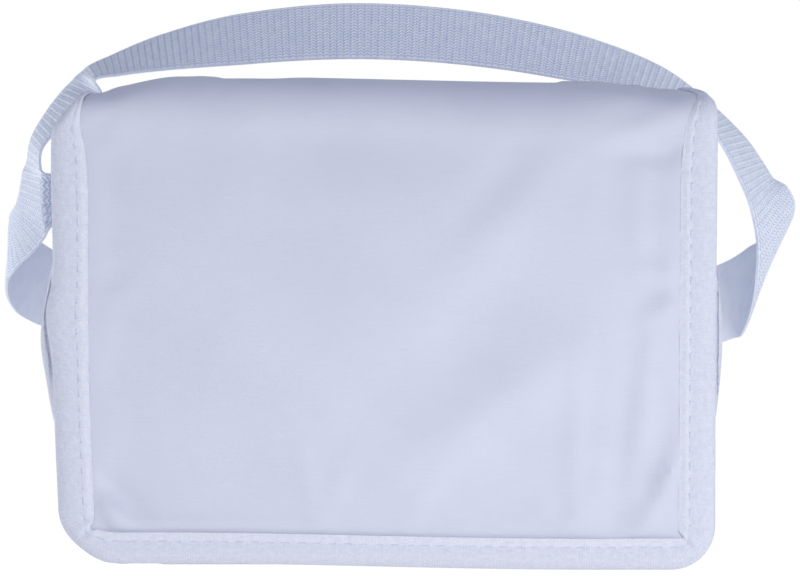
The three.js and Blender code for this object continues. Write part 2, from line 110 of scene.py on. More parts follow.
# Folds of the flap: middle x and z, turn from +X towards +Z in degrees, length, width, height
FLAP_FOLDS = [
    (88, 24, 62, 26, 5, -1.3), (72, 40, 70, 40, 6, 0.8), (66, 148, 35, 24, 8, 0.8),
    (84, 130, 5, 16, 6, -0.8), (-86, 18, -50, 12, 4, 1), (-92, 10, -40, 10, 5, -1),
    (20, 50, 48, 70, 16, 0.7),
]

# Creases in the flap's cloth, in the same columns
FLAP_CREASES = [
    (82.3, 30, 62, 22, 6, -1.5), (88.6, 28, 62, 22, 3.5, 1.9), (75.6, 48, 83, 30, 4, -0.8),
    (81.3, 48, 83, 30, 4, 0.9), (89.3, 84, 25, 9, 3.5, 1), (88, 95.5, -3, 10, 3.5, 0.9),
    (80, 111, 92, 16, 4, 0.7), (88, 133, -2, 15, 4, -1.9), (82, 141, 20, 14, 4, 1),
    (60.5, 42, 88, 28, 3.5, 0.7), (33, 51, 37, 38, 9, 1.7), (33, 80, 41, 34, 13, -1.4),
    (40.5, 113, 48, 24, 7.5, 0.7), (35.5, 124, 48, 22, 6, -0.6), (-15, 26, 64, 14, 3.5, 0.5),
    (-24, 26, 99, 14, 3.5, 0.5), (14, 26, 56, 15, 3.5, 0.6), (-12, 137, 0, 42, 15, -3),
    (-84, 23.5, -38, 10, 3.5, -1.8), (-87.5, 18.8, -45, 8, 2.5, 1.4), (-93, 13, -45, 8, 4, -1.3),
    (-60, 8.5, 0, 32, 6, 1.2),
]
CREASE_FADE = 3  # beside the tape

# Share of the tape's width that shows, by panel: share of its length, left, right
TAPE_NARROWING = {
    "lid": [(0.4, 1, 1), (1, 0.36, 0.32)],
    "fold": [(0.3, 0.24, 0.34), (0.5, 0.26, 0.55), (0.78, 0.53, 0.81)],
    "flap": [
        (0, 0.8, 0.91), (0.09, 1, 1), (0.34, 1, 1), (0.41, 1.17, 1), (0.46, 1.16, 1), (0.54, 1.02, 1),
        (0.62, 1, 1),
    ],
}

# Collar of a gusset: inset from the seam's edge, lift off the wrap
GUSSET_COLLAR = [(3, 0), (7, 0), (11, 0), (12.4, 0.3), (13.5, 1.2), (14.3, 2.6), (14.7, 4.5)]
GUSSET_SWELL = 7
GUSSET_SWELL_ABOVE = 0.25  # how far above the panel its swell starts, as a share of its height

# Strap from the right back seam over the bag to the left one: middle of the band, line across it
STRAP_RULINGS = [
    ((96, 60.3, 75), (-0.28, 0, 0.96)), ((105, 60.3, 77.6), (-0.28, 0, 0.96)),
    ((114.5, 59.3, 80.8), (-0.16, 0, 0.98)), ((122, 56.4, 84.6), (0.08, 0.03, 0.99)),
    ((127.3, 51, 90), (0.27, 0.3, 0.91)), ((130.2, 46.5, 95.5), (0.4, 0.46, 0.79)),
    ((131.5, 42.8, 101.3), (0.48, 0.5, 0.72)), ((131.5, 39.4, 107.5), (0.51, 0.56, 0.65)),
    ((129.6, 36.4, 114), (0.47, 0.7, 0.53)), ((126, 34.6, 120), (0.39, 0.88, 0.27)),
    ((122.3, 33.5, 127), (0.41, 0.9, 0.12)), ((116.5, 32.7, 136.3), (0.37, 0.92, 0.08)),
    ((106.5, 31.7, 146.5), (0.24, 0.95, 0.17)), ((91, 30.5, 155.8), (0.19, 0.9, 0.39)),
    ((59, 30, 165), (0.14, 0.76, 0.63)), ((25, 30, 170.8), (0.06, 0.69, 0.72)),
    ((-12, 30, 172.8), (0, 0.67, 0.74)), ((-49, 30, 170), (-0.07, 0.74, 0.67)),
    ((-76, 30.5, 165.3), (-0.1, 0.88, 0.45)), ((-90, 31, 161.5), (-0.12, 0.94, 0.28)),
    ((-98.8, 31, 158.2), (-0.18, 0.97, 0.16)), ((-99.8, 31.2, 154), (-0.42, 0.88, 0.2)),
    ((-105, 31.8, 150), (-0.36, 0.92, 0.14)), ((-110.2, 32, 144.3), (-0.28, 0.94, 0.18)),
    ((-116.8, 32, 135), (-0.2, 0.96, 0.15)), ((-117.6, 32, 128), (-0.24, 0.96, 0.12)),
    ((-117.2, 32, 124.5), (-0.39, 0.91, 0.1)), ((-117.5, 32.4, 116), (-0.47, 0.86, 0.18)),
    ((-118.7, 34.2, 110.2), (-0.47, 0.82, 0.31)), ((-122, 37.5, 105.4), (-0.36, 0.84, 0.41)),
    ((-125, 41.4, 101.8), (-0.18, 0.83, 0.53)), ((-127, 46, 98.8), (-0.03, 0.74, 0.67)),
    ((-126.6, 51.2, 95.2), (0.1, 0.48, 0.87)), ((-122.2, 55.9, 90.4), (0.21, 0.15, 0.96)),
    ((-115.2, 58.9, 86), (0.27, 0.02, 0.96)), ((-105, 60.3, 82), (0.3, 0, 0.95)),
    ((-96, 60.3, 79), (0.3, 0, 0.95)),
]

# Folded width of the strap's front margin on the left, at heights of its middle
FOLDED_MARGIN = [(106.5, 0), (110.2, 1.5), (112.5, 4.5), (116, 6.8), (124.5, 7), (127, 0)]
FOLDED_RADIUS = 1.4
FOLDED_TURN = 120

# Fine shape that only shows here
CLOTH_STEP = 1.9  # between points of the panels
GUSSET_STEP = 2.2
TAPE_STEP = 1.1  # between sections of a tape
TAPE_POINTS = (6, 9, 37)  # across its pressed edge, the rest of its face, its bend
TAPE_BEND = 4  # how far in the bend starts
CORNER_ROWS = 14  # of points, down a hem corner
CORNER_SECTIONS = 40  # of the tape round it
EDGE_PINCH = 0.5  # half thickness of the padding at a bound edge
EDGE_PINCH_RUN = 5
MOUTH_PINCH = 0.05  # square of the padding's share at the front's upper edge
PADDING_PUFF = 0.28  # what the padding rises beside the tape
PADDING_PUFF_RUN = 2.5
HEM_TAPE = 0.86  # share of the tape's width that shows along the hem
TAPE_EDGE_DROP = 0.77  # how far the tape's inner edge is pressed down
TAPE_EDGE_RUN = 2.6
TAPE_THINNING = 1.2  # run in which it loses its thickness
HEM_EDGE_LIFT = 0.7  # how much less it is pressed down along the hem
HEM_DIP = 0.5  # of the cloth above the hem's tape
HEM_DIP_RUN = 2
HEM_DIP_FADE = (-1, 3)  # beside the side tapes
STITCH_INSET = 3.3  # from the tape's inner edge to its stitches
STITCH_PITCH = 4.9
STITCH_SPAN = (0.1, 0.9)  # where a stitch shows, as shares of its pitch
STITCH_RINGS = 7  # along a stitch
STITCH_SINK = 2.2  # of its ends, in radii of the thread
STITCH_REST = 0.4  # of all of it, in the same
STITCH_DENT = 0.28
STITCH_DENT_WIDTH = 1.3
STITCH_DENT_SWING = 0.25  # share of its depth, either way
NEEDLE_HOLE_PAINTED_SHADE = 0.36  # radius of the painted shade in a needle hole
THREAD_RADIUS = 0.18
THREAD_SIDES = 6
TAPE_PUCKER = 0.14  # ripples along the tape
PUCKER_WAVES = [(4.9, 0.3, 0), (7.3, 0.25, 1.1), (11.9, 0.25, 2.3), (23, 0.2, 0.7)]  # pitch, share, start
TUCK = 0.28  # height of the folds in a mitred corner of the tape
TUCK_FOLDS = [(37, 6, 1), (58, 7, 0.7), (47, 4, -1)]  # degrees round the corner, width, share of the height
TUCK_RUN = 0.4  # share of the tape's width over which they rise
TUCK_NOTCH = 1.8  # how far the cloth points into a mitred corner
TUCK_NOTCH_PLACE = (46, 7)  # degrees round the corner, and width
YARN_PITCH = 1.32  # between the yarns of the webbing
YARN_FLOAT = 1.15  # half a column of chevrons
YARN_STEPS = 3  # points along a float
YARN_LANES = 3  # points across a yarn
YARN_LEAN = 1.05  # how far a float leans across the webbing
YARN_RELIEF = 0.4
YARN_LIFT = (0.6, 1)  # least and greatest height, in halves of the relief
YARN_VALLEY = -1  # height between two yarns
YARN_TURN = (1, 0.25)  # how far the yarns dive where a column of chevrons starts, and in its middle
YARN_SEED = 7
YARN_PAINTED_SHADE_MID = 0.64  # tone of a yarn halfway up the relief, which also carries painted shade lower down and painted highlight higher up
YARN_PAINTED_SHADE_RISE = 0.6  # what it gains in half the relief: painted highlight on the crests, painted shade in the valleys and dives
PLAIN_TONE = 1  # of the webbing's inner face
PLAIN_LANES = 12  # points across it
SELVEDGE = 0.6  # share of the webbing's thickness at its edges
SELVEDGE_POWER = 8
STRAP_CURVE_POINTS = 4000

# Simulated padding: the cloth grows a little between its bound edges, under light pressure
SIM_STEP = 6  # between points of the simulated wrap
SIM_FRAMES = 24
SIM_QUALITY = 6
SIM_GROWTH = 0.02
SIM_PRESSURE = 1.5
SIM_CAP = 1.6  # furthest that a point may move
SIM_FADE = 8  # beside the tape
SIM_SHARE = {"front": 0.5, "base": 0, "back": 1, "lid": 0.8, "fold": 0.3, "flap": 0.3}
SIM_BLEND = 8  # either side of a panel's end

# Looks: pitches, grain sizes along and across the cloth, and darkest and lightest colours
CLOTH_THREADS = 0.5
CLOTH_SLUBS = (9, 0.45)
CLOTH_CLOUDS = (30, 30)
CLOTH_COLOURS = ((206, 209, 226), (225, 227, 239))
TAPE_RIBS = 0.75
TAPE_FUZZ = (0.8, 0.8)
TAPE_MOTTLE = (2.2, 1.6)
# The darkest tape colour shows in full only in the needle holes, as painted shade.
TAPE_COLOURS = ((100, 107, 142), (235, 237, 247))
WEBBING_FILAMENTS = (1.2, 0.12)
WEBBING_PATCHES = (3, 5)
WEBBING_COLOURS = ((184, 194, 228), (244, 249, 255))
THREAD_TWIST = 0.5
THREAD_COLOURS = ((200, 204, 224), (222, 225, 239))

# Camera of the photograph: its aim, distance, elevation, and what fits across the picture there
AIM = (5, -72, 89.3)
CAMERA_DISTANCE = 1600
CAMERA_ELEVATION = 1.5
VIEW_WIDTH = 251.9
SENSOR_WIDTH = 36

# Light: sky, floor, and soft boxes with their place, aim, size and power in watts
HORIZON_LIGHT = (0.655, 0.675, 0.745)
ZENITH_LIGHT = (0.195, 0.23, 0.345)
FLOOR_COLOUR = (0.3, 0.3, 0.3)
FLOOR_GLOW = 0.88
FLOOR_REACH = 420
SOFT_BOXES = {
    "right_box": ((880, -1120, 280), (0, -70, 80), (600, 600), 5.3),
    "low_box": ((40, -280, 20), (0, -70, 40), (460, 40), 0.12),
    "left_box": ((-420, 90, 40), (-118, 40, 112), (160, 160), 0.5),
}

SIDES = {"left": -1, "right": 1}


def smooth(value, start, end):
    """Smooth step from 0 at start to 1 at end."""
    t = np.clip((value - start) / (end - start), 0, 1)
    return t * t * (3 - 2 * t)


def within(value, start, full, still, end):
    """Rises smoothly from 0 at start to 1 at full, and falls again from still to 0 at end."""
    return smooth(value, start, full) * (1 - smooth(value, still, end))


def hermite(start, end, leave, arrive, t):
    """Cubic from start to end, at shares t of its way, with the slopes it leaves and arrives with."""
    square = 3 * (end - start) - 2 * leave - arrive
    cubic = 2 * (start - end) + leave + arrive
    return start + leave * t + square * t**2 + cubic * t**3


def unit(vectors):
    return vectors / np.linalg.norm(vectors, axis=-1, keepdims=True)


def side_by_side(*columns):
    return np.stack(np.broadcast_arrays(*columns), -1)


def lengths_along(points):
    """Distance along a line of points at each of them."""
    return np.concatenate([[0], np.cumsum(np.linalg.norm(np.diff(points, axis=0), axis=1))])


def stretch_points(start, end, step):
    """Even values about a step apart, ends included."""
    return np.linspace(start, end, max(2, math.ceil(abs(end - start) / step) + 1))


def line(from_y, from_z, to_y, to_z):
    """A straight piece of the profile: its length, and its places and headings."""
    length = math.hypot(to_y - from_y, to_z - from_z)
    head_y, head_z = (to_y - from_y) / length, (to_z - from_z) / length

    def place(d):
        return from_y + head_y * d, from_z + head_z * d, np.full_like(d, head_y), np.full_like(d, head_z)

    return length, place


def quarter(y, z, radius, quarters):
    """A quarter circle of the profile, as line() gives it."""

    def place(d):
        angle = quarters * math.pi / 2 + d / radius
        return y + radius * np.cos(angle), z + radius * np.sin(angle), -np.sin(angle), np.cos(angle)

    return radius * math.pi / 2, place


# Profile of the wrap, from the mouth of the front panel round to below the flap's hem
BASE_ARC_Z = BASE_Z + BASE_RADIUS
PROFILE = [
    line(FRONT_Y, MOUTH_Z, FRONT_Y, BASE_ARC_Z),
    quarter(FRONT_Y + BASE_RADIUS, BASE_ARC_Z, BASE_RADIUS, 2),
    line(FRONT_Y + BASE_RADIUS, BASE_Z, BACK_Y - BASE_RADIUS, BASE_Z),
    quarter(BACK_Y - BASE_RADIUS, BASE_ARC_Z, BASE_RADIUS, 3),
    line(BACK_Y, BASE_ARC_Z, BACK_Y, LID_Z - BACK_RADIUS),
    quarter(BACK_Y - BACK_RADIUS, LID_Z - BACK_RADIUS, BACK_RADIUS, 0),
    line(BACK_Y - BACK_RADIUS, LID_Z, FLAP_Y + FOLD_RADIUS, LID_Z),
    quarter(FLAP_Y + FOLD_RADIUS, LID_Z - FOLD_RADIUS, FOLD_RADIUS, 1),
    line(FLAP_Y, LID_Z - FOLD_RADIUS, FLAP_Y, FLAP_HEM_Z - HEM_OVERRUN),
]
STATIONS = np.cumsum([length for length, _ in PROFILE])
FRONT_END, BASE_START, BASE_END, BACK_START, BACK_END = STATIONS[:5]
LID_START, LID_END, FLAP_START, PROFILE_LENGTH = STATIONS[5:]
HEM = PROFILE_LENGTH - HEM_OVERRUN
PANELS = {
    "front": (0, FRONT_END), "base": (BASE_START, BASE_END), "back": (BACK_START, BACK_END),
    "lid": (LID_START, LID_END), "fold": (LID_END, FLAP_START), "flap": (FLAP_START, HEM),
}


def profile_at(s):
    """Rows of y, z and the heading's y and z along the profile."""
    s = np.clip(s, 0, PROFILE_LENGTH)
    found = np.zeros((4,) + s.shape)
    for end, (length, place) in zip(STATIONS, PROFILE):
        here = (s >= end - length) & (s <= end)
        found[:, here] = place(s[here] - (end - length))
    return found


def along_panels(table, name, s):
    """One side's values of a table by panels, as a smooth curve along s."""
    rows = [(*PANELS[panel], *row) for panel, part in table.items() for row in part]
    starts, ends, shares, left, right = np.array(rows, float).T
    places = starts + (ends - starts) * shares
    values = left if name == "left" else right
    edged = np.pad([places, values], ((0, 0), (1, 1)), "edge")
    gap, rise = edged[:, 2:] - edged[:, :-2]
    slope = rise / gap
    last = np.clip(np.searchsorted(places, s, side="right"), 1, len(places) - 1)
    first = last - 1
    run = places[last] - places[first]
    t = np.clip((s - places[first]) / run, 0, 1)
    return hermite(values[first], values[last], slope[first] * run, slope[last] * run, t)


def half_width_at(name, s):
    """Distance from the bag's middle to the wrap's padded edge."""
    radius = HEM_CORNER_RADIUS[name]
    into_corner = np.clip(s - (HEM - radius), 0, radius)
    return along_panels(EDGE_REACH, name, s) - radius + np.sqrt(radius**2 - into_corner**2)


def from_edge(x, s):
    """Distance in from the wrap's nearer side edge."""
    return np.where(x < 0, half_width_at("left", s), half_width_at("right", s)) - np.abs(x)


def tape_shown(x, s):
    """Share of the tape's width that shows along the nearer side edge."""
    left, right = (along_panels(TAPE_NARROWING, name, s) for name in SIDES)
    return np.where(x < 0, left, right)


def on_base(s):
    """1 on the base of the wrap, fading to 0 up its arcs."""
    return within(s, FRONT_END, BASE_START, BASE_END, BACK_START)


def ridges(table, across, up):
    """Sum of the folds of a table at places on a panel's face."""
    total = np.zeros(np.broadcast(across, up).shape)
    for middle, height, degrees, length, width, rise in table:
        turn = math.radians(degrees)
        along = (across - middle) * math.cos(turn) + (up - height) * math.sin(turn)
        aside = (up - height) * math.cos(turn) - (across - middle) * math.sin(turn)
        total += rise * np.exp(-((along / length) ** 2) - (aside / width) ** 2)
    return total


def swell_at(x, s, z):
    """How far the padding swells out of the profile."""
    across = np.clip(1 - (x / HALF_WIDTH) ** 2, 0, 1)
    swell = np.zeros(np.broadcast(x, s).shape)
    for name, (start, end) in PANELS.items():
        arch = np.where((s > start) & (s < end), np.sin(math.pi * (s - start) / (end - start)), 0)
        height = PANEL_SWELL[name] + (ridges(FLAP_FOLDS, x, z) if name == "flap" else 0)
        swell += height * across * arch
        if name == "front":
            swell -= SEAM_RETREAT * arch**2 * (1 - smooth(from_edge(x, s), 0, SEAM_RETREAT_RUN))
    return swell


def lift_at(x, s):
    """How far the wrap moves up or down from the profile."""
    inset = from_edge(x, s)
    lift = EDGE_LIFT * on_base(s) * (1 - smooth(inset, TAPE_WIDTH, TAPE_WIDTH + EDGE_LIFT_RUN))
    start, end = PANELS["lid"]
    drooping = start + (end - start) * LID_DROOP_START
    on_lid = within(s, BACK_END, drooping, end, FLAP_START)
    behind_fold = 1 - smooth(s, end - (end - start) * FOLD_DROOP_RUN, end)
    fold_droop = np.where(x < 0, FOLD_DROOP["left"], FOLD_DROOP["right"])
    edge_droop = on_lid * (fold_droop + (LID_DROOP - fold_droop) * behind_fold)
    droop = edge_droop * (1 - smooth(inset, 0, LID_DROOP_RUN))
    skew_share = np.sin(math.pi / 2 * np.clip(x / FLAP_SKEW_RUN, -1, 1))
    skew = FLAP_SKEW * skew_share * smooth(s, start, end)
    hem_rise = HEM_RISE * smooth(-x, *HEM_RISE_ACROSS) * smooth(s, HEM - HEM_RISE_RUN, HEM)
    return lift - droop - skew + hem_rise


def shoulder_push(x, s):
    """How far the fold stands forward of its round shape near the sides."""
    angle = np.clip((FLAP_START - s) / FOLD_RADIUS, 0, math.pi / 2)
    rounding = FOLD_RADIUS * (1 - np.cos(angle)) * np.cos(angle) ** 2
    share = np.where(x < 0, SQUARE_SHOULDERS["left"], SQUARE_SHOULDERS["right"])
    return share * smooth(np.abs(x), *SQUARE_RUN) * rounding


def wrap_point(x, s):
    """Points of the wrap's middle surface, x across the bag and s along the profile."""
    x, s = np.broadcast_arrays(np.asarray(x, float), np.asarray(s, float))
    y, z, head_y, head_z = profile_at(s)
    y = y - shoulder_push(x, s)
    swell = swell_at(x, s, z)
    return np.stack([x, y + swell * head_z, z - swell * head_y + lift_at(x, s)], -1)


def wrap_normal(x, s):
    """Outward normals of the wrap, from two small steps along it."""
    step = 0.5
    across_bag = wrap_point(x + step, s) - wrap_point(x - step, s)
    along_profile = wrap_point(x, s + step) - wrap_point(x, s - step)
    return unit(np.cross(along_profile, across_bag))


def off_wrap(x, s, height):
    """Points off the wrap's middle surface by a height."""
    return wrap_point(x, s) + wrap_normal(x, s) * np.asarray(height, float)[..., None]


def index_faces(index):
    """Four-sided faces between points whose numbers stand in a grid."""
    return np.stack([index[:-1, :-1], index[:-1, 1:], index[1:, 1:], index[1:, :-1]], -1).reshape(-1, 4)


def grid_faces(rows, columns):
    """Four-sided faces between the points of a grid."""
    return index_faces(np.arange(rows * columns).reshape(rows, columns))


def tube_faces(rings, size):
    """Faces of a tube of rings of a size, and of its caps."""
    index = np.arange(rings * size).reshape(rings, size)
    walls = index_faces(np.concatenate([index, index[:, :1]], 1))
    return [*walls, index[0, ::-1], index[-1]]


def padded_faces(faces, under):
    """Faces of a sheet, of its copy whose points come later by a count, and of their rim."""
    edges = np.stack([faces, np.roll(faces, -1, axis=1)], -1).reshape(-1, 2)
    keys = edges.min(1) * (faces.max() + 1) + edges.max(1)
    _, first, uses = np.unique(keys, return_index=True, return_counts=True)
    free = edges[first[uses == 1]]
    rim = np.stack([free[:, 1], free[:, 0], free[:, 0] + under, free[:, 1] + under], -1)
    return np.concatenate([faces, faces[:, ::-1] + under, rim])


def add_object(name, data):
    """A new object in the scene."""
    made = bpy.data.objects.new(name, data)
    bpy.context.scene.collection.objects.link(made)
    return made


def signed_volume(mesh):
    """Volume of a closed mesh, below zero where its faces point inwards."""
    shape = bmesh.new()
    shape.from_mesh(mesh)
    volume = shape.calc_volume(signed=True)
    shape.free()
    return volume


def make_piece(name, points, faces, material, slot, weave, nodes=(), sharp=45, depth=None):
    """A piece that rides on the bag. weave holds each point's place in the cloth."""
    mesh = bpy.data.meshes.new(name)
    mesh.from_pydata(points.reshape(-1, 3) * MM, [], [list(face) for face in faces])
    mesh.validate()
    if signed_volume(mesh) < 0:
        mesh.flip_normals()
    corners = np.zeros(len(mesh.loops), np.int32)
    mesh.loops.foreach_get("vertex_index", corners)
    layer = mesh.uv_layers.new(name="weave")
    layer.uv.foreach_set("vector", weave.reshape(-1, 2)[corners].astype(np.float32).ravel())
    # depth is a tone at each point. On the webbing it holds painted shade in the hollows between yarns and
    # painted highlight on their crests.
    if depth is not None:
        attribute = mesh.attributes.new("depth", "FLOAT", "POINT")
        attribute.data.foreach_set("value", depth.astype(np.float32))
    mesh.shade_smooth()
    mesh.set_sharp_from_angle(angle=math.radians(sharp))
    mesh.materials.append(material)
    piece = add_object(name, mesh)
    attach(piece, "root")
    if nodes:
        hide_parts(*nodes)
    return piece


# Materials


def from_srgb(red, green, blue):
    """Linear colour of an sRGB one given from 0 to 255."""
    return (*Color((red / 255, green / 255, blue / 255)).from_srgb_to_scene_linear(), 1)


class Shader:
    """A material's nodes, with short ways to add and join them."""

    def __init__(self, name, **looks):
        self.material = bpy.data.materials.new(name)
        self.material.use_nodes = True
        self.tree = self.material.node_tree
        self.surface = self.tree.nodes["Principled BSDF"]
        self.fill(self.surface, looks)

    def join(self, socket, value):
        if isinstance(value, bpy.types.NodeSocket):
            self.tree.links.new(value, socket)
        else:
            socket.default_value = value

    def fill(self, node, inputs):
        for name, value in inputs.items():
            self.join(node.inputs[name.replace("_", " ")], value)

    def add(self, kind, **inputs):
        made = self.tree.nodes.new(kind)
        self.fill(made, inputs)
        return made

    def math(self, operation, *values):
        made = self.tree.nodes.new("ShaderNodeMath")
        made.operation = operation
        for socket, value in zip(made.inputs, values):
            self.join(socket, value)
        return made.outputs[0]

    def total(self, start, *terms):
        """Start plus each term's value times its weight."""
        for value, weight in terms:
            start = self.math("MULTIPLY_ADD", value, weight, start)
        return start

    def place(self):
        """Sockets of the place along and across the cloth, in millimetres."""
        made = self.tree.nodes.new("ShaderNodeUVMap")
        made.uv_map = "weave"
        parts = self.add("ShaderNodeSeparateXYZ", Vector=made.outputs[0])
        return parts.outputs[0], parts.outputs[1]

    def wave(self, place, pitch):
        """A wave from -1 to 1 with the given pitch."""
        return self.math("SINE", self.math("MULTIPLY", place, 2 * math.pi / pitch))

    def noise(self, along, across, along_size, across_size, detail=2):
        """Noise from about 0 to 1 whose grains have the given sizes."""
        u = self.math("DIVIDE", along, along_size)
        v = self.math("DIVIDE", across, across_size)
        place = self.add("ShaderNodeCombineXYZ", X=u, Y=v).outputs[0]
        return self.add("ShaderNodeTexNoise", Vector=place, Scale=1.0, Detail=detail).outputs[0]

    def colour(self, share, dark, light):
        """Base colour between two sRGB colours."""
        ramp = self.add("ShaderNodeValToRGB", Fac=share)
        ramp.color_ramp.elements[0].color = from_srgb(*dark)
        ramp.color_ramp.elements[1].color = from_srgb(*light)
        self.fill(self.surface, {"Base Color": ramp.outputs[0]})

    def bump(self, height, distance):
        """Bump of the given height in millimetres."""
        made = self.add("ShaderNodeBump", Height=height, Distance=distance * MM, Strength=1.0)
        self.fill(self.surface, {"Normal": made.outputs[0]})


def cloth_material():
    """Fine plain weave: crossing threads, slubs and a soft sheen."""
    shader = Shader("woven_cloth", Roughness=0.5, Sheen_Weight=0.15)
    u, v = shader.place()
    threads = shader.math("MULTIPLY", shader.wave(u, CLOTH_THREADS), shader.wave(v, CLOTH_THREADS))
    slubs = shader.noise(u, v, *CLOTH_SLUBS)
    clouds = shader.noise(u, v, *CLOTH_CLOUDS)
    grain = shader.total(slubs, (threads, 0.06))
    shader.colour(shader.total(0, (grain, 0.4), (clouds, 0.6)), *CLOTH_COLOURS)
    shader.bump(shader.total(threads, (slubs, 1.2)), 0.02)
    return shader.material


def tape_material():
    """Folded tape: ribs, fuzz, painted shade in the needle holes and a painted highlight on the strip between
    the stitches and the inner edge.
    """
    shader = Shader("bound_tape", Roughness=0.85, Sheen_Weight=0.3)
    u, v = shader.place()
    ribs = shader.wave(u, TAPE_RIBS)
    fuzz = shader.noise(u, v, *TAPE_FUZZ, detail=4)
    # Painted shade: a dark spot at each needle hole along the line of stitches.
    along = shader.math("PINGPONG", u, STITCH_PITCH / 2)
    across = shader.math("SUBTRACT", v, TAPE_WIDTH - STITCH_INSET)
    square = shader.math("ADD", shader.math("POWER", along, 2.0), shader.math("POWER", across, 2.0))
    apart = shader.math("DIVIDE", shader.math("SQRT", square), NEEDLE_HOLE_PAINTED_SHADE)
    free_of_hole_shade = shader.math("SMOOTH_MIN", apart, 1.0, 0.2)
    mottle = shader.math("ADD", fuzz, shader.noise(u, v, *TAPE_MOTTLE))
    # Painted highlight: the strip between the stitches and the tape's inner edge is a little lighter,
    # standing in for the light on its raised surface.
    painted_strip_highlight = shader.math("GREATER_THAN", across, 0)
    tone = shader.total(0.6, (painted_strip_highlight, 0.06), (ribs, 0.02), (mottle, 0.24))
    shader.colour(shader.math("MULTIPLY", tone, free_of_hole_shade), *TAPE_COLOURS)
    shader.bump(shader.total(0, (ribs, 0.3), (fuzz, 2.4)), 0.05)
    return shader.material


def webbing_material():
    """Webbing yarn: fine filaments, painted shade where a yarn dives and between yarns, and painted highlight
    on the crests.
    """
    shader = Shader("woven_webbing", Roughness=0.7, Sheen_Weight=0.2)
    u, v = shader.place()
    depth = shader.tree.nodes.new("ShaderNodeAttribute")
    depth.attribute_name = "depth"
    filaments = shader.noise(u, v, *WEBBING_FILAMENTS)
    patches = shader.noise(u, v, *WEBBING_PATCHES)
    # The depth attribute paints shade into the yarns' valleys and dives and highlight onto their crests.
    tone = shader.total(-0.2, (patches, 0.4), (filaments, 0.2), (depth.outputs["Fac"], 0.85))
    shader.colour(tone, *WEBBING_COLOURS)
    shader.bump(filaments, 0.05)
    return shader.material


def thread_material():
    """Sewing thread: a plain twist."""
    shader = Shader("sewing_thread", Roughness=0.6, Sheen_Weight=0.2)
    u, v = shader.place()
    twist = shader.wave(shader.math("ADD", u, v), THREAD_TWIST)
    shader.colour(shader.total(0.5, (twist, 0.3)), *THREAD_COLOURS)
    shader.bump(twist, 0.02)
    return shader.material


# Padded panels


def simulate(points, faces, pinned):
    """Points of a sheet after it grows and swells as cloth between its pinned points."""
    scene = bpy.context.scene
    mesh = bpy.data.meshes.new("trial")
    mesh.from_pydata(points * MM, [], faces.tolist())
    trial = add_object("trial", mesh)
    group = trial.vertex_groups.new(name="pinned")
    group.add(np.flatnonzero(pinned).tolist(), 1.0, "REPLACE")
    modifier = trial.modifiers.new("cloth", "CLOTH")
    modifier.point_cache.frame_end = SIM_FRAMES
    settings = modifier.settings
    settings.quality = SIM_QUALITY
    settings.vertex_group_mass = group.name
    settings.shrink_min = -SIM_GROWTH
    settings.use_pressure = True
    settings.uniform_pressure_force = SIM_PRESSURE
    settings.effector_weights.gravity = 0
    for number in range(1, SIM_FRAMES + 1):
        scene.frame_set(number)
    settled = trial.evaluated_get(bpy.context.evaluated_depsgraph_get())
    found = np.zeros(len(points) * 3, np.float32)
    settled.data.vertices.foreach_get("co", found)
    scene.frame_set(1)
    bpy.data.objects.remove(trial)
    bpy.data.meshes.remove(mesh)
    moved = found.reshape(-1, 3) / MM - points
    size = np.linalg.norm(moved, axis=1, keepdims=True)
    return points + moved * np.minimum(1, SIM_CAP / np.maximum(size, SIM_CAP / 10))


def spread(values, shares):
    """Values of a coarse grid at shares of the way down it."""
    place = np.clip(shares, 0, 1) * (len(values) - 1)
    first = np.minimum(place.astype(int), len(values) - 2)
    t = (place - first)[:, None]
    before, here, there, after = (values[np.clip(first + i, 0, len(values) - 1)] for i in (-1, 0, 1, 2))
    return hermite(here, there, (there - before) / 2, (after - here) / 2, t)


def wrap_grid(rows, columns):
    """Places of the wrap, x and s, on a grid as wide as it is."""
    left, right = half_width_at("left", rows), half_width_at("right", rows)
    x = -left[:, None] + (left + right)[:, None] * np.linspace(0, 1, columns)
    return x, np.repeat(rows[:, None], columns, 1)


def inset_at(x, s):
    """Distance in from the wrap's nearest bound edge, with the tape's visible width as its full width."""
    return np.minimum(from_edge(x, s) / tape_shown(x, s), (HEM - s) / HEM_TAPE)


def seam_groove(x, s):
    """Depth of the groove in the front seams beside the edge of the flap."""
    z = profile_at(s)[1]
    depth = np.zeros_like(z)
    for name, side in SIDES.items():
        flap_edge_x = half_width_at(name, FLAP_START + LID_Z - FOLD_RADIUS - z) + TAPE_BUILD
        across = within(side * x - flap_edge_x, *SEAM_GROOVE_ACROSS)
        depth += SEAM_GROOVE * across * within(z, *SEAM_GROOVE_HEIGHTS[name])
    return np.where(s < FRONT_END, depth, 0)


def beside_tape(x, s):
    """Distance in from the inner edge of the nearest tape."""
    beside_sides = from_edge(x, s) - TAPE_WIDTH * tape_shown(x, s)
    return np.minimum(beside_sides, HEM - s - TAPE_WIDTH * HEM_TAPE)


def settled_wrap(shares_down, columns):
    """How far the simulated wrap moves out of its shape, at shares of its length."""
    rows = stretch_points(0, HEM, SIM_STEP)
    coarse_columns = math.ceil(2 * HALF_WIDTH / SIM_STEP) + 1
    x, s = wrap_grid(rows, coarse_columns)
    points = wrap_point(x, s).reshape(-1, 3)
    pinned = (inset_at(x, s) < TAPE_WIDTH + SIM_STEP / 2) | (s < SIM_STEP)
    faces = grid_faces(len(rows), coarse_columns)
    moved = simulate(points, faces, pinned.ravel()) - points
    out = np.sum(moved.reshape(*x.shape, 3) * wrap_normal(x, s), -1)
    weight = np.zeros_like(s)
    for name, (start, end) in PANELS.items():
        ends = (start - SIM_BLEND, start + SIM_BLEND, end - SIM_BLEND, end + SIM_BLEND)
        weight += SIM_SHARE[name] * within(s, *ends)
    return spread(spread(out * weight, shares_down).T, np.linspace(0, 1, columns)).T


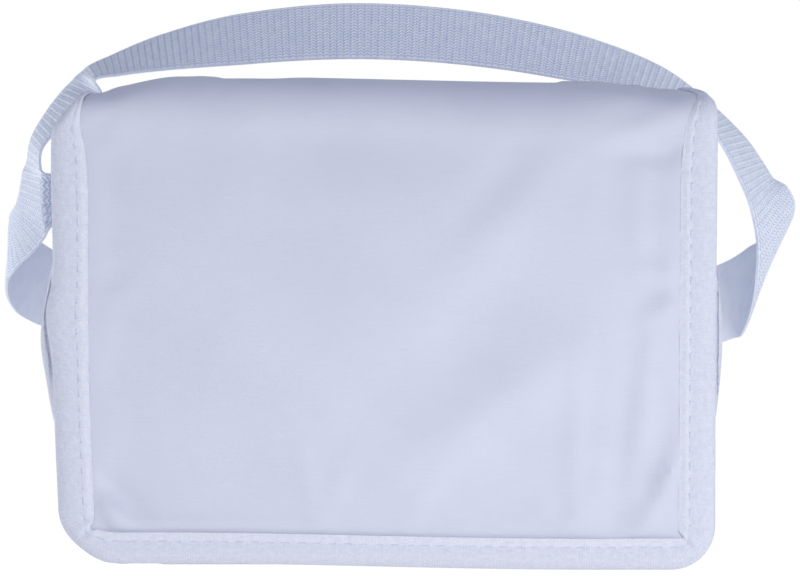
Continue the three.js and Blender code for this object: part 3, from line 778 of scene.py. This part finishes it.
def wrap_piece(material):
    """Front, base, back, lid and flap in one padded piece."""
    corner = HEM_CORNER_RADIUS["left"]
    rows = np.concatenate([
        stretch_points(0, HEM - corner, CLOTH_STEP)[:-1],
        HEM - corner * (1 - np.sin(np.linspace(0, math.pi / 2, CORNER_ROWS))),
    ])
    columns = math.ceil(2 * HALF_WIDTH / CLOTH_STEP) + 1
    x, s = wrap_grid(rows, columns)
    inset = inset_at(x, s)
    pinch = EDGE_PINCH + (HALF_WALL - EDGE_PINCH) * smooth(inset, 0, EDGE_PINCH_RUN)
    puff = PADDING_PUFF * (1 - on_base(s)) * smooth(inset, TAPE_WIDTH - PADDING_PUFF_RUN, TAPE_WIDTH)
    half = (pinch + puff) * np.sqrt(np.clip(s / HALF_WALL, MOUTH_PINCH, 1))
    hem_line = np.exp(-(((HEM - s) / HEM_TAPE - TAPE_WIDTH) / HEM_DIP_RUN) ** 2)
    half -= HEM_DIP * hem_line * smooth(from_edge(x, s) - TAPE_WIDTH, *HEM_DIP_FADE)
    on_flap = smooth(s, LID_END, FLAP_START)
    groove = np.minimum(seam_groove(x, s), np.maximum(half - GROOVE_FLOOR, 0))
    beside = beside_tape(x, s)
    creases = ridges(FLAP_CREASES, x, profile_at(s)[1]) * on_flap * smooth(beside, 0, CREASE_FADE)
    out = settled_wrap(rows / HEM, columns) * smooth(beside, 0, SIM_FADE) + creases
    points = np.stack([off_wrap(x, s, out + half - groove), off_wrap(x, s, out - half)])
    faces = padded_faces(grid_faces(len(rows), columns), x.size)
    weave = np.stack([side_by_side(x, s)] * 2)
    piece = make_piece("shell", points, faces, material, "cloth", weave, ["wrap_panel"])


def seam_rows(step):
    """Places along the gussets' seams, and the steps in each run, which are even."""
    ends = [0, FRONT_END, BASE_START, BASE_END, BACK_START, BACK_END]
    counts = [2 * math.ceil((end - start) / step / 2) for start, end in zip(ends, ends[1:])]
    runs = [np.linspace(start, end, count + 1)[1:] for start, end, count in zip(ends, ends[1:], counts)]
    return np.concatenate([[0], *runs]), counts


def gusset_piece(name, material):
    """Side panel: a collar sewn inside the wrap's edge, turning into a panel that swells outwards."""
    side = SIDES[name]
    flange = 2 * HALF_WALL + CLEARANCE
    s, counts = seam_rows(GUSSET_STEP)
    reach = half_width_at(name, s)
    collar = np.stack([off_wrap(side * (reach - inset), s, -flange - lift) for inset, lift in GUSSET_COLLAR])
    ring = collar[-1]
    rows = counts[0] + counts[1] // 2
    columns = counts[1] // 2 + counts[2] + counts[3] // 2
    front, back, base = ring[: rows + 1], ring[::-1][: rows + 1], ring[rows : rows + columns + 1]
    across = np.linspace(0, 1, columns + 1)[None, :, None]
    down = np.linspace(0, 1, rows + 1)[:, None, None]
    span = front[:, None] * (1 - across) + back[:, None] * across
    floor = base[0] * (1 - across) + base[-1] * across
    panel = span + (base[None] - floor) * down
    up_and_down = np.sin(math.pi * (down + GUSSET_SWELL_ABOVE) / (1 + GUSSET_SWELL_ABOVE))
    bulge = np.sin(math.pi * across) * up_and_down
    panel[..., 0] += (side * GUSSET_SWELL * bulge)[..., 0]
    held = np.zeros(panel.shape[:2], bool)
    held[:, :2] = held[:, -2:] = held[-2:] = held[:1] = True
    panel_faces = grid_faces(*held.shape)[:, :: 1 if side > 0 else -1]
    panel = simulate(panel.reshape(-1, 3), panel_faces[:, ::-1], held.ravel()).reshape(panel.shape)

    # The panel's side and lower edges are the points of the collar's inner ring
    ring_index = (len(collar) - 1) * len(s) + np.arange(len(s))
    index = np.zeros(held.shape, int)
    index[:-1, 1:-1] = len(collar) * len(s) + np.arange(rows * (columns - 1)).reshape(rows, -1)
    index[:, 0] = ring_index[: rows + 1]
    index[:, -1] = ring_index[::-1][: rows + 1]
    index[-1] = ring_index[rows : rows + columns + 1]
    middle = np.concatenate([collar.reshape(-1, 3), panel[:-1, 1:-1].reshape(-1, 3)])
    faces = np.concatenate([grid_faces(len(collar), len(s)), index_faces(index)[:, ::-1]])
    if side < 0:
        faces = faces[:, ::-1]
    normals = sheet_normals(middle, faces)
    points = np.stack([middle + normals * HALF_WALL, middle - normals * HALF_WALL])
    closed = padded_faces(faces, len(middle))
    weave = np.tile(middle[:, 1:], (2, 1))
    piece = make_piece(f"side_{name}", points, closed, material, "cloth", weave, [f"gusset_{name}"])


def sheet_normals(points, faces):
    """Normals of a sheet at its points."""
    diagonals = points[faces[:, 2]] - points[faces[:, 0]], points[faces[:, 3]] - points[faces[:, 1]]
    face_normals = np.cross(*diagonals)
    normals = np.zeros_like(points)
    for corner in range(4):
        np.add.at(normals, faces[:, corner], face_normals)
    return unit(normals)


# Tape and stitches


def tape_section(above, below):
    """Outer and inner line of a folded tape: the way in from the edge, and height off the wrap's middle."""
    high, low = above + TAPE_BUILD, -below - TAPE_BUILD
    middle, half = (high + low) / 2, (high - low) / 2
    on_edge, on_face, on_bend = TAPE_POINTS
    crown = np.linspace(TAPE_WIDTH - TAPE_EDGE_RUN, TAPE_BEND, on_face)[1:]
    face = np.concatenate([TAPE_WIDTH - np.linspace(0, TAPE_EDGE_RUN, on_edge), crown])
    drop = TAPE_EDGE_DROP * smooth(face, TAPE_WIDTH - TAPE_EDGE_RUN, TAPE_WIDTH)
    turn = np.linspace(math.pi / 2, -math.pi / 2, on_bend)[1:-1]

    def bend(angles, thick):
        reach = TAPE_BEND + TAPE_BUILD - thick
        return zip(TAPE_BEND - reach * np.cos(angles), middle + (half - thick) * np.sin(angles))

    outer = [*zip(face, high - drop), *bend(turn, 0), *zip(face[::-1], (low + drop)[::-1])]
    thinned = TAPE_WIDTH - TAPE_THINNING
    lining = bend(turn[::-2], TAPE_THICKNESS)
    inner = [(thinned, low + TAPE_THICKNESS), *lining, (thinned, high - TAPE_THICKNESS)]
    return np.array(outer), np.array(inner)


def tape_piece(name, edge, above, below, material, nodes):
    """Tape folded over an edge, whose faces lie above and below the wrap's middle."""
    outer, inner = tape_section(above, below)
    section = np.concatenate([outer, inner])
    x, s, in_x, in_s, width, tuck = (column[:, None] for column in edge.T)
    inward, height = section.T[:, None]
    along = stitch_line_lengths(edge, above)
    facing = np.sign(height - (above - below) / 2)
    inner_share = np.clip(inward / TAPE_WIDTH, 0, 1)
    pucker = TAPE_PUCKER * ripples(along)[:, None] * inner_share
    folds = tuck * smooth(inner_share, 0, TUCK_RUN)
    relief = (pucker + folds - stitch_dent(along[:, None], inward)) * facing
    relief[:, len(outer):] = 0
    reach = np.where(inward > 0, inward * width, inward)
    place_x, place_s = x + in_x * reach, s + in_s * reach
    hem_share = np.clip(-in_s, 0, 1) ** 2
    relief += HEM_EDGE_LIFT * hem_share * smooth(inward, TAPE_WIDTH - TAPE_EDGE_RUN, TAPE_WIDTH) * facing
    relief -= np.where(facing > 0, seam_groove(place_x, place_s), 0)
    points = off_wrap(place_x, place_s, height + relief)
    faces = tube_faces(*points.shape[:2])
    weave = side_by_side(along[:, None], inward)
    piece = make_piece(name, points, faces, material, "tape", weave, nodes, sharp=60)


def stitch_line_lengths(edge, above):
    """Distance along the line of stitches at each place of an edge."""
    x, s, in_x, in_s, width, _ = edge.T
    inset = (TAPE_WIDTH - STITCH_INSET) * width
    return lengths_along(off_wrap(x + in_x * inset, s + in_s * inset, above))


def ripples(along):
    """Uneven ripples between -1 and 1 along a tape, the same on every run."""
    return sum(share * np.sin(2 * math.pi * along / pitch + start) for pitch, share, start in PUCKER_WAVES)


def stitch_dent(along, inward):
    """How far the stitches pull the tape down."""
    apart = (inward - (TAPE_WIDTH - STITCH_INSET)) / STITCH_DENT_WIDTH
    pull = 1 - STITCH_DENT_SWING + STITCH_DENT_SWING * np.cos(2 * math.pi * along / STITCH_PITCH)
    return STITCH_DENT * pull * np.exp(-(apart**2))


def side_edge(name, places):
    """Edge of the wrap on one side: x, s, their inward direction, the tape's share of its width, its tuck."""
    side = SIDES[name]
    x = side * half_width_at(name, places)
    return side_by_side(x, places, -side, 0, tape_shown(x, places), 0)


def hem_corner(name):
    """Lower corner of the flap's edge, from the side to the hem: round outside and mitred inside."""
    side = SIDES[name]
    radius = HEM_CORNER_RADIUS[name]
    angle = np.linspace(0, math.pi / 2, CORNER_SECTIONS)
    to_side = (radius - TAPE_WIDTH) / np.maximum(np.cos(angle), 0.01)
    to_hem = (radius - TAPE_WIDTH * HEM_TAPE) / np.maximum(np.sin(angle), 0.01)
    mitre = radius - np.minimum(to_side, to_hem)

    def hump(degrees, width):
        return np.exp(-(((np.degrees(angle) - degrees) / width) ** 2))

    tuck = TUCK * sum(share * hump(degrees, width) for degrees, width, share in TUCK_FOLDS)
    width = (mitre - TUCK_NOTCH * hump(*TUCK_NOTCH_PLACE)) / TAPE_WIDTH
    centre_s = HEM - radius
    centre_x = side * (half_width_at(name, np.array(centre_s)) - radius)
    out_x, out_s = side * np.cos(angle), np.sin(angle)
    return side_by_side(centre_x + radius * out_x, centre_s + radius * out_s, -out_x, -out_s, width, tuck)


def flap_edge():
    """Free edges of the lid and the flap, from the back left over the hem to the back right."""
    corner = max(HEM_CORNER_RADIUS.values())
    places = stretch_points(BACK_END + CLEARANCE, HEM - corner, TAPE_STEP)
    left = np.concatenate([side_edge("left", places[:-1]), hem_corner("left")])
    right = np.concatenate([side_edge("right", places[:-1]), hem_corner("right")])[::-1]
    x = stretch_points(left[-1, 0], right[0, 0], TAPE_STEP)[1:-1]
    return np.concatenate([left, side_by_side(x, HEM, 0, -1, HEM_TAPE, 0), right])


def stitches_piece(name, edge, heights, material):
    """Stitches along a tape, on each face whose height off the wrap is given."""
    along = stitch_line_lengths(edge, heights[0])
    count = int(along[-1] / STITCH_PITCH)
    starts = np.arange(count) * STITCH_PITCH
    rings = np.linspace(*STITCH_SPAN, STITCH_RINGS)
    sides = np.linspace(0, 2 * math.pi, THREAD_SIDES, endpoint=False)
    inset = TAPE_WIDTH - STITCH_INSET
    points, weave = [], []
    for height in heights:
        places = (starts[:, None] + rings * STITCH_PITCH).ravel()
        x, s, in_x, in_s, width, tuck = (np.interp(places, along, column) for column in edge.T)
        x, s = x + in_x * inset * width, s + in_s * inset * width
        sunk = STITCH_REST + STITCH_SINK * (2 * np.abs(np.tile(rings, count) - 0.5)) ** 3
        facing = 1 if height > 0 else -1
        raised = tuck + TAPE_PUCKER * ripples(places) * inset / TAPE_WIDTH
        rest = height + facing * (raised - stitch_dent(places, inset) - THREAD_RADIUS * sunk)
        middle = off_wrap(x, s, rest).reshape(count, len(rings), 3)
        up = wrap_normal(x, s).reshape(middle.shape)
        head = unit(np.gradient(middle, axis=1))
        aside = unit(np.cross(head, up))
        round_it = aside[..., None, :] * np.cos(sides)[:, None] + up[..., None, :] * np.sin(sides)[:, None]
        points.append((middle[..., None, :] + THREAD_RADIUS * round_it).reshape(-1, 3))
        weave.append(side_by_side(places[:, None], sides / (2 * math.pi)).reshape(-1, 2))
    one = tube_faces(len(rings), len(sides))
    firsts = np.arange(count * len(heights)) * len(rings) * len(sides)
    faces = [face + first for first in firsts for face in one]
    make_piece(name, np.concatenate(points), faces, material, "tape", np.concatenate(weave))


# Strap


def through(rows, t):
    """Points of a centripetal curve through the rows, at shares of its way."""
    rows = np.array(rows, float)
    rows = np.concatenate([[2 * rows[0] - rows[1]], rows, [2 * rows[-1] - rows[-2]]])
    spans = len(rows) - 3
    place = np.clip(t, 0, 1) * spans
    first = np.minimum(place.astype(int), spans - 1)
    weight = (place - first)[:, None]
    p0, p1, p2, p3 = (rows[first + i] for i in range(4))
    gaps = [np.linalg.norm(b - a, axis=1)[:, None] ** 0.5 for a, b in ((p0, p1), (p1, p2), (p2, p3))]
    tiny = 1e-4
    middle = np.where(gaps[1] < tiny, 1, gaps[1])
    before = np.where(gaps[0] < tiny, middle, gaps[0])
    after = np.where(gaps[2] < tiny, middle, gaps[2])
    leave = ((p1 - p0) / before - (p2 - p0) / (before + middle) + (p2 - p1) / middle) * middle
    arrive = ((p2 - p1) / middle - (p3 - p1) / (middle + after) + (p3 - p2) / after) * middle
    return hermite(p1, p2, leave, arrive, weight)


def strap_rulings():
    """Middles, lines across and normals of the strap, and the places along it."""
    t = np.linspace(0, 1, STRAP_CURVE_POINTS)
    middle = through([row[0] for row in STRAP_RULINGS], t)
    across = unit(through([unit(np.array(row[1], float)) for row in STRAP_RULINGS], t))
    along = lengths_along(middle)
    floats = round(along[-1] / YARN_FLOAT)
    places = np.linspace(0, along[-1], floats * YARN_STEPS + 1)
    middle = np.stack([np.interp(places, along, middle[:, axis]) for axis in range(3)], -1)
    across = unit(np.stack([np.interp(places, along, across[:, axis]) for axis in range(3)], -1))
    normal = np.cross(unit(np.gradient(middle, axis=0)), across)
    slant = np.linalg.norm(normal, axis=1, keepdims=True)
    return middle, across / slant, normal / slant, places


def fold_margin(aside, middle):
    """How the strap's lanes move in its folded front margin: across it, inwards, and their turn."""
    heights, margins = zip(*FOLDED_MARGIN)
    margin = np.where(middle[:, 0] < 0, np.interp(middle[:, 2], heights, margins), 0)
    over = np.clip(margin[:, None] - STRAP_WIDTH / 2 - aside, 0, None)
    turn = np.minimum(over / FOLDED_RADIUS, math.radians(FOLDED_TURN))
    flat = over - FOLDED_RADIUS * turn
    shift = over - FOLDED_RADIUS * np.sin(turn) - flat * np.cos(turn)
    rise = FOLDED_RADIUS * (1 - np.cos(turn)) + flat * np.sin(turn)
    return shift, rise, turn


def chevrons(steps):
    """Places across the outer face and heights of its yarns, which lean one way and back in columns."""
    yarns = round(STRAP_WIDTH / YARN_PITCH)
    lanes = np.arange(YARN_LANES * yarns + 1)
    number, part = np.divmod(np.arange(steps)[:, None], YARN_STEPS)
    part = part / YARN_STEPS
    turning_back = number % 2 == 1
    across = (lanes / lanes[-1] - 0.5) * STRAP_WIDTH
    off_selvedge = 1 - (2 * across / STRAP_WIDTH) ** SELVEDGE_POWER
    lean = YARN_LEAN * (np.where(turning_back, 1 - part, part) - 0.5)
    yarn = np.minimum(lanes // YARN_LANES, yarns - 1)
    lift = np.random.default_rng(YARN_SEED).uniform(*YARN_LIFT, (number.max() + 1, yarns))[number, yarn]
    dive = np.where(part > 0, 0, np.where(turning_back, YARN_TURN[1], YARN_TURN[0]))
    valley = np.minimum(YARN_VALLEY, YARN_VALLEY / 2 - dive / 2)
    height = np.where(lanes % YARN_LANES > 0, lift - dive, valley)
    height[:, [0, -1]] = 0
    return across + lean * off_selvedge, height


def strap_piece(material):
    """Webbing with chevrons of yarn on its outer face."""
    middle, across, normal, places = strap_rulings()
    plain = np.tile(np.linspace(-0.5, 0.5, PLAIN_LANES + 1) * STRAP_WIDTH, (len(places), 1))
    woven, ridge = chevrons(len(places))
    half = STRAP_THICKNESS / 2
    outer = half - YARN_RELIEF / 2 * (1 - ridge)
    aside = np.concatenate([plain, woven[:, ::-1]], 1)
    height = np.concatenate([np.full_like(plain, half), -outer[:, ::-1]], 1)
    thinning = (2 * np.abs(aside) / STRAP_WIDTH) ** SELVEDGE_POWER
    height *= np.sqrt(np.clip(1 - thinning, SELVEDGE**2, 1))
    # Painted shade and highlight of the outer face's relief: lighter on the yarns' crests, darker in their
    # valleys and dives. The inner face keeps one plain tone.
    painted_yarn_shade = YARN_PAINTED_SHADE_MID + YARN_PAINTED_SHADE_RISE * ridge[:, ::-1]
    depth = np.concatenate([np.full_like(plain, PLAIN_TONE), painted_yarn_shade], 1)
    shift, rise, turn = fold_margin(aside, middle)
    sideways = (aside + shift + height * np.sin(turn))[..., None]
    inward = (rise + height * np.cos(turn))[..., None]
    points = middle[:, None] + across[:, None] * sideways + normal[:, None] * inward
    faces = [face[::-1] for face in tube_faces(*aside.shape)]
    weave = side_by_side(places[:, None], aside)
    looks = {"sharp": 80, "depth": depth.ravel()}
    piece = make_piece("carry_strap", points, faces, material, "webbing", weave, ["strap"], **looks)


# Stage


def make_floor():
    """Pale floor that doesn't light the bag."""
    mesh = bpy.data.meshes.new("floor")
    corners = np.array([(-1, -1, 0), (1, -1, 0), (1, 1, 0), (-1, 1, 0)])
    mesh.from_pydata(corners * FLOOR_REACH * MM, [], [(0, 1, 2, 3)])
    floor = add_object("floor", mesh)
    glow = {"Emission_Color": (1, 1, 1, 1), "Emission_Strength": FLOOR_GLOW}
    shader = Shader("pale_floor", Roughness=0.9, Base_Color=(*FLOOR_COLOUR, 1), **glow)
    mesh.materials.append(shader.material)
    floor.visible_diffuse = False


def make_sky():
    """White backdrop for the camera, and a dimmer, bluer sky for all else."""
    world = bpy.data.worlds.new("studio")
    world.use_nodes = True
    bpy.context.scene.world = world
    tree = world.node_tree
    light = tree.nodes["Background"]
    kinds = ("Background", "MixShader", "LightPath", "TexCoord", "SeparateXYZ", "ValToRGB")
    backdrop, choose, path, place, parts, ramp = (tree.nodes.new("ShaderNode" + kind) for kind in kinds)
    backdrop.inputs["Color"].default_value = (1, 1, 1, 1)
    ramp.color_ramp.elements[0].color = (*HORIZON_LIGHT, 1)
    ramp.color_ramp.elements[1].color = (*ZENITH_LIGHT, 1)
    links = [
        (place.outputs["Generated"], parts.inputs[0]),
        (parts.outputs["Z"], ramp.inputs[0]),
        (ramp.outputs[0], light.inputs["Color"]),
        (path.outputs["Is Camera Ray"], choose.inputs[0]),
        (light.outputs[0], choose.inputs[1]),
        (backdrop.outputs[0], choose.inputs[2]),
        (choose.outputs[0], tree.nodes["World Output"].inputs[0]),
    ]
    for output, target in links:
        tree.links.new(output, target)


def make_lights():
    """Soft boxes around the bag."""
    for name, (place, aim, size, power) in SOFT_BOXES.items():
        data = bpy.data.lights.new(name, "AREA")
        data.shape = "RECTANGLE"
        data.size, data.size_y = (length * MM for length in size)
        data.energy = power
        box = add_object(name, data)
        box.location = Vector(place) * MM
        box.rotation_euler = (Vector(aim) - Vector(place)).to_track_quat("-Z", "Y").to_euler()
        box.visible_camera = False


def make_camera():
    """Camera at the photograph's angle."""
    data = bpy.data.cameras.new("camera")
    camera = add_object("camera", data)
    elevation = math.radians(CAMERA_ELEVATION)
    away = Vector((0, -math.cos(elevation), math.sin(elevation)))
    camera.location = (Vector(AIM) + away * CAMERA_DISTANCE) * MM
    camera.rotation_euler = (-away).to_track_quat("-Z", "Y").to_euler()
    data.sensor_width = SENSOR_WIDTH
    data.lens = SENSOR_WIDTH * CAMERA_DISTANCE / VIEW_WIDTH
    bpy.context.scene.camera = camera


cloth = cloth_material()
tape = tape_material()
webbing = webbing_material()
thread = thread_material()
flap_face = HALF_WALL + TAPE_BUILD
seam_inside = HALF_WALL + CLEARANCE + PANEL_THICKNESS

wrap_piece(cloth)
tape_piece("flap_binding", flap_edge(), HALF_WALL, HALF_WALL, tape, ["flap_tape"])
stitches_piece("flap_stitches", flap_edge(), [flap_face, -flap_face], thread)
for side_name in SIDES:
    gusset_piece(side_name, cloth)
    seam = side_edge(side_name, seam_rows(TAPE_STEP)[0])
    tape_piece(f"seam_binding_{side_name}", seam, HALF_WALL, seam_inside, tape, [f"seam_tape_{side_name}"])
    seam_faces = [flap_face, -seam_inside - TAPE_BUILD]
    stitches_piece(f"seam_stitches_{side_name}", seam, seam_faces, thread)
strap_piece(webbing)
make_floor()
make_sky()
make_lights()
make_camera()
bpy.context.scene.view_settings.view_transform = "Standard"
